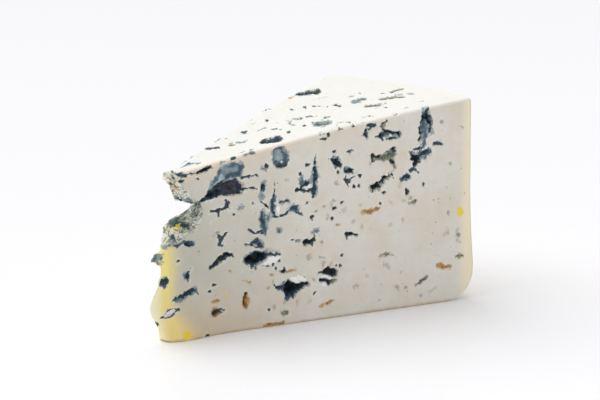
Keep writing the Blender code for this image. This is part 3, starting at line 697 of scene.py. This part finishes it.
def baseMesh():
    # the smooth wedge with coarse steps; its layers tell which cut each point is on
    # and which way is into the cheese
    n, m = wedge["columns"], wedge["arcColumns"]
    ring, broken, scrap = buildSides()
    grid = fillTop(ring[-1])
    rows, columns = ring.shape[:2]
    inner = grid[1:-1, 1:-1].reshape(-1, 3)
    points = np.concatenate([ring.reshape(-1, 3), inner])
    spare = np.zeros(len(inner))
    column = np.concatenate([np.tile(np.arange(columns), rows), spare - 1])
    row = np.concatenate([np.repeat(np.arange(rows), columns), spare + rows])
    front = (column >= 0) & ((column <= n) | (column > 2 * n + m + m // 2))
    back = (column >= n + m) & (column <= 2 * n + m + m // 2)
    angle = np.arctan2(points[:, 1], points[:, 0])
    inward = np.stack([-np.cos(angle), -np.sin(angle), 0 * angle], -1)
    inward[front], inward[back], inward[column < 0] = frontIn, backIn, (0, 0, -1)
    turned = np.clip((row - wedge["rows"]) / wedge["edgeRows"], 0, 1)[:, None]
    inward = inward * (1 - turned) + np.array([0, 0, -1.0]) * turned

    index = np.arange(rows * columns).reshape(rows, columns)
    beside = np.roll(index, -1, 1)
    last, first = index[-1], index[0]
    top = np.empty((n + 1, m + 1), int)
    top[:, 0], top[:, m] = last[:n + 1], last[n + m:2 * n + m + 1][::-1]
    top[0, :], top[n, :] = np.concatenate([last[2 * n + m:], last[:1]])[::-1], last[n:n + m + 1]
    top[1:-1, 1:-1] = rows * columns + np.arange(len(inner)).reshape(n - 1, m - 1)
    frontFoot, backFoot = first[:n + 1], first[n + m:2 * n + m + 1][::-1]
    quads = np.concatenate([
        np.stack([index[:-1], beside[:-1], beside[1:], index[1:]], -1).reshape(-1, 4),
        np.stack([top[:-1, :-1], top[1:, :-1], top[1:, 1:], top[:-1, 1:]], -1).reshape(-1, 4),
        np.stack([frontFoot[:-1], backFoot[:-1], backFoot[1:], frontFoot[1:]], -1),
    ])
    faces = quads.tolist()
    faces.append(first[n:n + m + 1][::-1].tolist())
    faces.append(np.concatenate([first[2 * n + m:], first[:1]])[::-1].tolist())
    mesh = bpy.data.meshes.new("cheese_paste")
    mesh.from_pydata(points.tolist(), [], faces)
    addLayers(mesh, {
        "front": front, "back": back, "top": (column < 0) | (row > wedge["rows"]), "nose": column > 2 * n + m,
        "broken": np.concatenate([broken.reshape(-1), spare]),
        "scrap": np.concatenate([scrap.reshape(-1), spare]),
        "skin": (column > n) & (column < n + m), "inX": inward[:, 0], "inY": inward[:, 1], "inZ": inward[:, 2],
    })
    return mesh


def addLayers(mesh, layers):
    for name, values in layers.items():
        layer = mesh.attributes.new(name, "FLOAT", "POINT")
        layer.data.foreach_set("value", np.asarray(values, np.float32))


def readLayer(mesh, name):
    values = np.empty(len(mesh.vertices), np.float32)
    mesh.attributes[name].data.foreach_get("value", values)
    return values.astype(float)


def readPoints(mesh):
    points = np.empty(len(mesh.vertices) * 3, np.float32)
    mesh.vertices.foreach_get("co", points)
    return points.reshape(-1, 3).astype(float)


def paintAll(mesh, allMarks):
    # the fields and the sink of every point, each cut painted with its own marks
    points = readPoints(mesh)
    fields = {kind: np.full(len(points), marbling["farOut"]) for kind in marbling["kinds"]}
    sink = np.zeros(len(points))
    x, y, z = points.T
    for side, first, second in (("front", points @ frontWay, z), ("back", points @ backWay, z),
                                ("top", x, y), ("nose", y, z)):
        pick = np.flatnonzero(readLayer(mesh, side) > 0.5)
        thickness, stretch = np.clip(2 * x[pick] * math.sin(half), 2, None), 1.0
        if side == "top":
            thickness, stretch = np.full(len(pick), 40.0), marbling["topStretch"]
        painted, depth = paint(np.stack([first[pick], second[pick]], -1), allMarks[side], thickness, stretch)
        for kind in fields:
            fields[kind][pick] = np.maximum(fields[kind][pick], painted[kind])
        sink[pick] = np.maximum(sink[pick], depth)
    return points, fields, sink


def refine(mesh, allMarks, margins):
    # halves the steps of the faces that lie within a margin of a mark or in the broken tip
    _, fields, sink = paintAll(mesh, allMarks)
    nearest = np.maximum.reduce([*fields.values(), np.where(np.abs(sink) > margins["dent"], 0.0, -9.0)])
    wanted = readLayer(mesh, "broken") > margins["broken"]
    wanted |= readLayer(mesh, "scrap") > 2 * margins["broken"]
    for side in ("front", "back", "top", "nose"):
        wanted |= (readLayer(mesh, side) > 0.5) & (nearest > -margins[side])
    bm = bmesh.new()
    bm.from_mesh(mesh)
    wanted = wanted.tolist()
    picked = [face for face in bm.faces if len(face.verts) <= 4 and any(wanted[v.index] for v in face.verts)
              and face.normal.z > -0.9]
    edges = list({edge for face in picked for edge in face.edges})
    bmesh.ops.subdivide_edges(bm, edges=edges, cuts=1, use_grid_fill=True)
    bm.to_mesh(mesh)
    bm.free()


def buildCheese():
    rng = np.random.default_rng(marbling["seed"])
    holes, atRandom = holesAsPits(backHoles), marbling["strewn"]
    allMarks = {
        "nose": noseMarks,
        "front": together(frontMarks, fraysOf(rng, frontMarks), strewn(rng, **atRandom["front"]),
                          strewnDents(rng, **marbling["frontDents"])),
        "back": together(holes, fraysOf(rng, holes), strewn(rng, **atRandom["back"])),
        "top": together(topMarks, strewn(rng, **atRandom["top"])),
    }
    mesh = baseMesh()
    for margins in wedge["finer"]:
        refine(mesh, allMarks, margins)
    points, fields, sink = paintAll(mesh, allMarks)
    broken = np.clip(readLayer(mesh, "broken"), 0, 1)
    scrap = readLayer(mesh, "scrap")
    inward = np.stack([readLayer(mesh, name) for name in ("inX", "inY", "inZ")], -1)

    sink *= 1 - broken
    lift = np.clip(points[:, 2] / 4, 0, 1)
    crumb = wedge["crumb"] * (0.5 + 0.5 * lumps(points, 5.0, 21, 2))
    moved = points + inward * (sink + crumb * lift)[:, None]
    wave = np.stack([lumps(points, 30, 41), lumps(points, 30, 42), lumps(points, 30, 43)], -1)
    moved += wave * (wedge["wave"] * lift)[:, None]
    # the broken paste: lumps of several sizes
    rough = np.stack([lumps(points, 4.2, 51 + k, 4) for k in range(3)], -1)
    torn = np.maximum(broken, np.clip(scrap, 0, 1))
    moved += rough * (tipBreak["roughness"] * torn)[:, None]
    crumbly = np.flatnonzero(torn > 0.02)
    name = np.floor(nearestCrumb(points[crumbly], tipBreak["crumb"], 91) * 40).astype(np.int64)
    shift = np.stack([corner(name, 95 + k) for k in range(3)], -1)
    moved[crumbly] += shift * (tipBreak["crumbShift"] * torn[crumbly])[:, None]
    moved[:, 0] += wheelAxis
    lowest, highest = np.array(low) / mm + 0.02, np.array(high) / mm - 0.02
    lowest[2] = 0.0
    moved = np.clip(moved, lowest, highest)
    mesh.vertices.foreach_set("co", (moved * mm).astype(np.float32).reshape(-1))
    mesh.update()
    # everything smooth but the underside
    normals = np.empty(len(mesh.polygons) * 3, np.float32)
    mesh.polygons.foreach_get("normal", normals)
    centres = np.empty(len(mesh.polygons) * 3, np.float32)
    mesh.polygons.foreach_get("center", centres)
    mesh.polygons.foreach_set("use_smooth", ~((normals[2::3] < -0.99) & (centres[2::3] < 0.0001)))

    along = points @ frontWay
    distance = np.hypot(points[:, 0], points[:, 1])
    depthIn = np.where(points[:, 0] < 0, points[:, 0], distance)
    footness = np.clip(1 - points[:, 2] / 14, 0, 1)
    # where the warm painted shade of the rounded top edge goes: within 10 mm of the top, on the front cut
    warmEdgeShade = np.clip(1 - (topHeight(distance) - points[:, 2]) / 10, 0, 1)
    warmEdgeShade = warmEdgeShade * np.clip(1 - (points @ frontIn) / 4, 0, 1)
    addLayers(mesh, fields)
    addLayers(mesh, {
        "thin": np.clip(1 - (depthIn - 1) / (14 + 15 * footness), 0, 1),
        "edge": np.clip((2.0 - depthIn) / 6, 0, 1),
        "warmEdgeShade": warmEdgeShade * np.clip(1.3 - along / 100, 0, 1),
        "thinner": np.clip(1 - distance / 78, 0, 1) * np.clip(1.25 - points[:, 2] / 110, 0, 1),
        "rind": np.clip(1 - (wedge["radius"] - distance) / 6, 0, 1),
        "height": points[:, 2],
    })
    for name in ("inX", "inY", "inZ"):
        mesh.attributes.remove(mesh.attributes[name])
    cheese = bpy.data.objects.new("cheese_paste", mesh)
    bpy.context.scene.collection.objects.link(cheese)
    mesh.calc_loop_triangles()
    print("cheese built:", len(mesh.vertices), "points,", len(mesh.loop_triangles), "triangles")
    return cheese


class Wire:
    # one socket of a material, so that sums of sockets read as sums
    def __init__(self, recipe, socket):
        self.recipe, self.socket = recipe, socket

    def maths(self, operation, first, second=0.0):
        made = self.recipe.node("ShaderNodeMath", {"operation": operation}, {0: first, 1: second})
        return Wire(self.recipe, made.outputs[0])

    def __add__(self, other):
        return self.maths("ADD", self, other)

    __radd__ = __add__

    def __mul__(self, other):
        return self.maths("MULTIPLY", self, other)

    __rmul__ = __mul__

    def __sub__(self, other):
        return self.maths("SUBTRACT", self, other)

    def __rsub__(self, other):
        return self.maths("SUBTRACT", other, self)

    def __truediv__(self, other):
        return self.maths("DIVIDE", self, other)

    def larger(self, other):
        return self.maths("MAXIMUM", self, other)

    def clamp(self):
        made = self.recipe.node("ShaderNodeClamp", {}, {0: self})
        return Wire(self.recipe, made.outputs[0])


class Recipe:
    # the nodes of one material
    def __init__(self, name):
        self.material = bpy.data.materials.new(name)
        self.material.use_nodes = True
        self.tree = self.material.node_tree
        self.tree.nodes.clear()
        self.place = Wire(self, self.node("ShaderNodeTexCoord", {}, {}).outputs["Object"])

    def node(self, kind, settings, inputs):
        made = self.tree.nodes.new(kind)
        for key, value in settings.items():
            setattr(made, key, value)
        for key, value in inputs.items():
            if isinstance(value, Wire):
                self.tree.links.new(value.socket, made.inputs[key])
            else:
                made.inputs[key].default_value = value
        return made

    def layer(self, name):
        made = self.node("ShaderNodeAttribute", {"attribute_name": name}, {})
        return Wire(self, made.outputs["Fac"])

    def noise(self, size, detail=3.0, rough=0.5, place=None):
        # size in mm; centred on 0, about -0.5 to 0.5
        made = self.node("ShaderNodeTexNoise", {}, {
            "Vector": place or self.place, "Scale": 1 / (size * mm), "Detail": detail, "Roughness": rough})
        return Wire(self, made.outputs["Fac"]) - 0.5

    def facing(self, axis):
        # one part of the surface's own direction
        surface = self.node("ShaderNodeNewGeometry", {}, {})
        parts = self.node("ShaderNodeSeparateXYZ", {}, {0: Wire(self, surface.outputs["Normal"])})
        return Wire(self, parts.outputs[axis])

    def stretched(self, size, squash):
        # the same noise, drawn out upwards, or sideways where the squash is over 1
        turned = self.node("ShaderNodeMapping", {}, {"Vector": self.place, "Scale": (1.0, 1.0, squash)})
        return self.noise(size, place=Wire(self, turned.outputs[0]))

    def crumbs(self, size, output="Color", feature="F1"):
        # crumbs of that size in mm: a random shade 0 to 1 for each, or the distance to the nearest one's
        # middle, or to the edge between two, as a share of the size
        made = self.node("ShaderNodeTexVoronoi", {"feature": feature}, {
            "Vector": self.place, "Scale": 1 / (size * mm)})
        return Wire(self, made.outputs[output])

    def mix(self, mask, first, second):
        made = self.node("ShaderNodeMix", {"data_type": "RGBA"}, {0: mask, 6: first, 7: second})
        return Wire(self, made.outputs[2])

    def finish(self, inputs):
        shader = self.node("ShaderNodeBsdfPrincipled", {}, inputs)
        out = self.node("ShaderNodeOutputMaterial", {}, {})
        self.tree.links.new(shader.outputs[0], out.inputs[0])
        return self.material


def tint(red, green, blue):
    # a screen colour 0-255 as the light it stands for
    def light(value):
        value /= 255
        return value / 12.92 if value <= 0.04045 else ((value + 0.055) / 1.055) ** 2.4
    return (light(red), light(green), light(blue), 1.0)


pasteLook = {
    "paste": (235, 232, 223),
    "pasteWarm": (232, 224, 208),
    "top": (241, 240, 235),
    "shade": (200, 198, 183),
    "cloud": (190, 196, 192),
    "shadeFoot": (216, 196, 168),
    "mint": (194, 214, 208),
    # painted light: the yellow glow of the thin end, where light shines through it
    "tip": (255, 236, 150),
    "tipFoot": (255, 230, 152),
    "tipPale": (255, 246, 204),
    "snapped": (240, 240, 226),
    "rim": (214, 229, 226),
    "edge": (255, 250, 222),
    "warmEdgeShade": (240, 218, 188),
    "brim": (245, 244, 236),
    "footShade": (214, 180, 134),
    "rindBand": (255, 241, 211),
    "skinDeep": (232, 208, 166),
    "skinPale": (250, 243, 226),
    "blue": (126, 148, 158),
    "blueDeep": (64, 97, 114),
    "green": (150, 152, 126),
    "greenDeep": (78, 92, 78),
    "mouldDeep": (58, 84, 80),
    "blueLight": (112, 134, 144),
    "blueMiddle": (180, 199, 209),
    "tan": (206, 172, 108),
    "tanDeep": (172, 104, 42),
    "yellow": (255, 222, 44),
    "paintedLight": (255, 255, 253),
    "plum": (50, 58, 94),
    "plumDeep": (22, 28, 44),
    "dark": (28, 48, 56),
    "darkest": (14, 20, 25),
    "roughness": 0.52,
    "glow": 0.22,              # share of light that travels inside the paste
    "relief": 0.35,            # mm of the finest grain
}


def pasteMaterial():
    r = Recipe("cheese_paste_look")
    look = pasteLook

    def over(base, share, name):
        # one of the look's colours laid over another, by a share from 0 to 1
        return r.mix(share, base, tint(*look[name]))

    fine, middle, wide = r.noise(0.8, 4, 0.6), r.noise(2.4, 4, 0.6), r.noise(16, 3, 0.5)
    patches = wide * 2.4 + middle * 1.4 + r.noise(6, 3, 0.5) * 1.6
    colour = r.mix((patches + 0.4).clamp(), tint(*look["paste"]), tint(*look["pasteWarm"]))
    # painted light: the thin end painted yellow, palest at its very edge, for light shining through the thin
    # paste
    thin = (r.layer("thin") * 1.25 + wide * 0.35 - 0.12).clamp()
    rise = r.layer("height")
    foot = (1 - rise / 26).clamp()
    shade = (r.layer("thinner") * 1.3 + wide * 0.5).clamp()
    colour = r.mix(shade * 0.9, colour, r.mix(foot, tint(*look["shade"]), tint(*look["shadeFoot"])))
    lit = r.mix(foot, tint(*look["tip"]), tint(*look["tipFoot"]))
    lit = over(lit, (r.layer("thin") * 5 - 4).clamp(), "tipPale")      # palest at the very edge
    colour = r.mix((thin * thin * 2.2).clamp(), colour, lit)
    below = (r.facing(2) * -4 - 3).clamp()      # the flat underside is rind too
    # the rind's own cream colour, brightened as painted light where light shines through the rind's rounded
    # edge
    band = (r.layer("rind") * 1.5 + middle * 0.4 - 0.3).clamp()
    colour = over(colour, band.larger(below), "rindBand")
    skin = r.layer("skin").larger(below)
    mottle = (wide * 4 + r.noise(5, 4, 0.6) * 3 + 0.35).clamp()
    colour = over(colour, skin * mottle * 0.45, "skinDeep")
    colour = over(colour, skin * (r.noise(1.5, 3, 0.6) * 8 - 1.2).clamp() * 0.6, "skinPale")
    wrinkles = r.stretched(3.2, 5.0)
    # painted light: the very end of the nose painted near white, where it shines brightest
    colour = over(colour, r.layer("edge") * 0.85, "edge")
    # painted light: the top painted paler and whiter than the cuts, for the strong light from above
    colour = over(colour, r.layer("top") * 0.85, "top")
    # painted shade: a warm, slightly darker band along the rounded top edge of the front cut, strongest towards
    # the thin end
    colour = over(colour, (r.layer("warmEdgeShade") * 0.9 + middle * 0.4 - 0.05).clamp() * 0.7, "warmEdgeShade")
    # painted shade: a brown line within about 1.4 mm of the floor, where the cheese meets it, not on the rind
    # or underside
    footShadeMask = (1 - rise / 1.4 + middle * 1.5).clamp() * (0.7 - r.layer("rind")) * (1 - below)
    colour = over(colour, footShadeMask.clamp(), "footShade")

    # the broken tip: mould thickest at the foot of the break and round its lips
    off = (rise - 51) / 13
    lipped = 1 - off * off
    crumbs = r.crumbs(1.5)
    grown = r.mix(crumbs * 0.55, tint(*look["mint"]), tint(*look["blue"]))
    grown = over(grown, (r.noise(2.6, 4, 0.65) * 12 + lipped * 0.9 - 2.2).clamp(), "mouldDeep")
    # painted highlights on the broken crumbs
    grown = over(grown, (fine * 9 + middle * 6 - 0.7).clamp(), "paintedLight")
    snapped = r.layer("broken").larger(r.layer("scrap") * 2.2).clamp()
    colour = over(colour, snapped * 0.8, "snapped")
    thick = lipped.larger(r.layer("scrap") * 1.5) * 1.4 + middle * 6.0 + wide * 1.5 + crumbs * 0.5 - 1.9
    crust = (snapped * thick).clamp()
    colour = r.mix(crust * 0.95, colour, grown)
    gaps = r.crumbs(2.4, "Distance", "DISTANCE_TO_EDGE")
    cracks = ((0.05 + middle * 0.55 + lipped * 0.03 - gaps) / 0.05).clamp()
    colour = over(colour, cracks * snapped * 0.75, "mouldDeep")
    ledge = r.layer("broken") * (1 - r.layer("broken")) * 4      # a pale rim where the break meets the cut
    colour = over(colour, (ledge * ledge + middle * 2).clamp() * (ledge * 2).clamp() * 0.75, "rim")

    def patch(name, reach, soft, grain):
        # 0 to 1 across an edge of that softness, moved out by the reach and frayed by the grain
        return ((r.layer(name) + reach + middle * grain + fine * grain) / soft).clamp()

    fleck = (fine * 5 + middle * 4 + 0.45).clamp()
    # painted highlight: the paste painted paler round the holes, where their raised brims catch the light
    beside = ((r.layer("dark") + 0.9 + fine * 2) / 0.5).clamp()      # the paste is paler round the holes
    colour = over(colour, beside * 0.35 * (1 - snapped), "brim")
    cloud = (wide * 3 + r.noise(7, 3, 0.5) * 3 - 0.6).clamp() * r.layer("thinner")
    colour = over(colour, cloud * 0.5, "cloud")
    colour = over(colour, patch("blue", 0.4, 0.4, 2.4) * 0.8, "blue")
    streaks = r.stretched(1.6, 0.35)
    middles = ((r.layer("blue") - 1.5 + middle * 3) / 1.0).clamp()
    ring = ((r.layer("blue") - 0.3 + streaks * 4 + middle * 3) / 0.45).clamp()
    colour = over(colour, ring * (0.85 - middles * 0.55), "blueDeep")
    colour = over(colour, middles * ring * (0.8 + streaks * 1.5), "blueMiddle")
    # the big cavity and one other hole: purple mould, darkened with painted shade
    plumMouldAndShade = r.mix((streaks * 7 + fine * 5 + 0.5).clamp(), tint(*look["plum"]), tint(*look["plumDeep"]))
    colour = r.mix(patch("plum", 0.0, 0.4, 1.6) * 0.92, colour, plumMouldAndShade)
    colour = over(colour, patch("green", 0.2, 0.6, 2.2) * 0.9, "green")
    colour = over(colour, patch("green", -0.6, 0.6, 4.0) * 0.85, "greenDeep")
    colour = over(colour, patch("tan", 0.1, 0.5, 1.6) * 0.95, "tan")
    colour = over(colour, patch("tan", -0.7, 0.5, 3.0) * 0.9, "tanDeep")
    colour = over(colour, patch("yellow", 0.1, 0.5, 1.0) * 0.95, "yellow")
    # the inside of the pits: dark mould, with painted shade that deepens towards the middle of each
    inside = r.mix(fleck, tint(*look["dark"]), tint(*look["blueDeep"]))
    inside = over(inside, (fine * 9 + streaks * 5 - 0.9).clamp() * 0.8, "blueLight")
    inside = over(inside, patch("dark", -0.55, 0.7, 3.0), "darkest")
    colour = r.mix(patch("dark", 0.15, 0.25, 1.1) * 0.97, colour, inside)
    # painted highlights on the marks that stand slightly proud
    colour = over(colour, patch("paintedLight", 0.1, 0.3, 0.9), "paintedLight")

    # tiny grey specks, strewn thinly
    speck = ((0.08 - r.crumbs(5.2, "Distance") + wide * 0.16) / 0.03).clamp()
    colour = over(colour, speck * 0.45, "blueDeep")

    height = fine * 0.5 + middle * 1.0 + r.noise(0.35, 2, 0.5) * 0.25 + wrinkles * skin * 2.5
    bump = r.node("ShaderNodeBump", {}, {"Strength": 0.6, "Distance": look["relief"] * mm, "Height": height})
    return r.finish({
        "Base Color": colour,
        "Roughness": (look["roughness"] + fine * 0.2).clamp(),
        "Specular IOR Level": 0.4,
        "Subsurface Weight": look["glow"],
        "Subsurface Radius": (1.0, 0.75, 0.4),
        "Subsurface Scale": 2.5 * mm,
        "Normal": Wire(r, bump.outputs["Normal"]),
    })


stage = {
    "floorSize": 8.0,
    "floor": (250, 250, 253),
    "floorRoughness": 0.32,
    "sky": 0.60,
    "sun": 1.9,
    "sunAngle": 70,
    "sunFrom": (-0.25, 0.55, 1.0),
}
camera = {
    "place": (-0.5203, -0.5626, 0.2305),   # m
    "azimuth": -43.15,
    "elevation": 13.33,
    "lens": 108.0,                         # mm
    "sensor": 36.0,                        # mm wide
}


def buildStage():
    size = stage["floorSize"] / 2
    mesh = bpy.data.meshes.new("floor")
    corners = [(-size, -size, 0), (size, -size, 0), (size, size, 0), (-size, size, 0)]
    mesh.from_pydata(corners, [], [(0, 1, 2, 3)])
    floor = bpy.data.objects.new("floor", mesh)
    floor.location.z = -0.0001
    bpy.context.scene.collection.objects.link(floor)
    r = Recipe("floor_white")
    floor.data.materials.append(r.finish({
        "Base Color": tint(*stage["floor"]), "Roughness": stage["floorRoughness"], "Specular IOR Level": 0.35,
    }))

    world = bpy.data.worlds.new("room")
    bpy.context.scene.world = world
    world.use_nodes = True
    world.node_tree.nodes["Background"].inputs[0].default_value = (1, 1, 1, 1)
    world.node_tree.nodes["Background"].inputs[1].default_value = stage["sky"]

    lamp = bpy.data.lights.new("soft_sun", "SUN")
    lamp.energy = stage["sun"]
    lamp.angle = math.radians(stage["sunAngle"])
    sun = bpy.data.objects.new("soft_sun", lamp)
    x, y, z = stage["sunFrom"]
    sun.rotation_euler = (math.atan2(math.hypot(x, y), z), 0, math.atan2(x, -y))
    bpy.context.scene.collection.objects.link(sun)

    lens = bpy.data.cameras.new("camera")
    lens.lens, lens.sensor_width = camera["lens"], camera["sensor"]
    lens.clip_start, lens.clip_end = 0.05, 30
    view = bpy.data.objects.new("camera", lens)
    view.location = camera["place"]
    view.rotation_euler = (math.radians(90 - camera["elevation"]), 0, math.radians(camera["azimuth"]))
    bpy.context.scene.collection.objects.link(view)
    bpy.context.scene.camera = view
    bpy.context.scene.view_settings.view_transform = "Standard"


cheese = buildCheese()
cheese.data.materials.append(pasteMaterial())
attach(cheese, "root")
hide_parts("cheese_wedge")
buildStage()
print("stage set")
